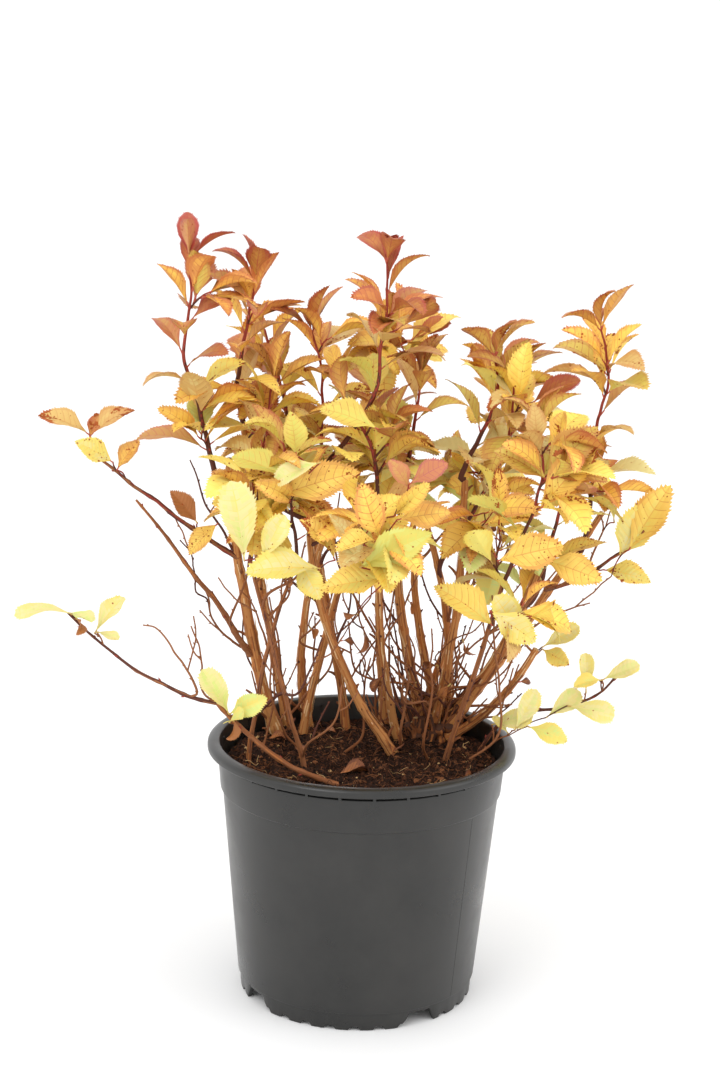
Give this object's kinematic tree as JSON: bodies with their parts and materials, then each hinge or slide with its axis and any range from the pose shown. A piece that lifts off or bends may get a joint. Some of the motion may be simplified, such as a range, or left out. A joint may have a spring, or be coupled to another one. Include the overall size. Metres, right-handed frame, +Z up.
{
  "type": "potted spirea shrub",
  "caption": "Twiggy spirea shrub in autumn leaf, upright tan canes with rust, gold and yellow leaves, growing in a round black nursery pot.",
  "frame": {"origin": "centre of the pot's flat underside, at the level that it stands on", "axes": "+Z up, +X to the shrub's right as it is looked at from -Y, the side that faces the viewer"},
  "size_m": [0.3723, 0.2283, 0.4496],
  "materials": {
    "pot_plastic": "satin",
    "potting_mix": "matte",
    "cane_bark": "matte",
    "twig_bark": "satin",
    "leaf_rust": "satin",
    "leaf_gold": "satin",
    "leaf_yellow": "satin",
    "leaf_lime": "satin"
  },
  "bodies": {
    "root": {"pot_rim": "pot_plastic", "pot_wall": "pot_plastic", "pot_floor": "pot_plastic", "pot_foot": "pot_plastic", "potting_mix": "potting_mix", "woody_crown": "cane_bark", "cane_left": "cane_bark", "cane_left_second": "cane_bark", "cane_left_inner": "cane_bark", "cane_left_behind": "cane_bark", "cane_front_left": "cane_bark", "cane_front_left_inner": "cane_bark", "cane_centre_left": "cane_bark", "cane_centre_a": "cane_bark", "cane_centre_b": "cane_bark", "cane_centre_c": "cane_bark", "cane_centre_d": "cane_bark", "cane_right_a": "cane_bark", "cane_right_b": "cane_bark", "cane_right_stub": "cane_bark", "cane_right_c": "cane_bark", "cane_front_right": "cane_bark", "cane_rear_left": "cane_bark", "cane_rear_middle": "cane_bark", "cane_rear_right": "cane_bark", "bough_left_low": "twig_bark", "bough_left_low_tip": "twig_bark", "bough_left_bare": "twig_bark", "bough_left_middle": "twig_bark", "bough_right_low": "twig_bark", "bough_right_tip": "twig_bark", "leaves_left_plume": "leaf_rust", "leaves_left_shoot": "leaf_gold", "leaves_second_plume": "leaf_rust", "leaves_second_shoot": "leaf_gold", "leaves_centre_left_plume": "leaf_rust", "leaves_centre_plume": "leaf_rust", "leaves_centre_shoot": "leaf_gold", "leaves_right_inner_plume": "leaf_rust", "leaves_right_outer_plume": "leaf_rust", "leaves_right_front": "leaf_gold", "leaves_right_shoot": "leaf_gold", "leaves_right_tip": "leaf_yellow", "leaves_core_left": "leaf_yellow", "leaves_core_centre": "leaf_yellow", "leaves_core_right": "leaf_yellow", "leaves_low_right": "leaf_yellow", "leaves_stub_pair": "leaf_yellow", "leaves_left_middle": "leaf_gold", "leaves_left_low": "leaf_lime", "leaves_left_lime": "leaf_lime", "leaves_right_low_inner": "leaf_lime", "leaves_right_low_outer": "leaf_lime", "leaves_rear_left": "leaf_gold", "leaves_rear_middle": "leaf_gold", "leaves_rear_right": "leaf_gold", "leaves_rear_left_plume": "leaf_rust", "leaves_rear_middle_plume": "leaf_rust", "leaves_rear_right_plume": "leaf_rust"}
  },
  "joints": []
}
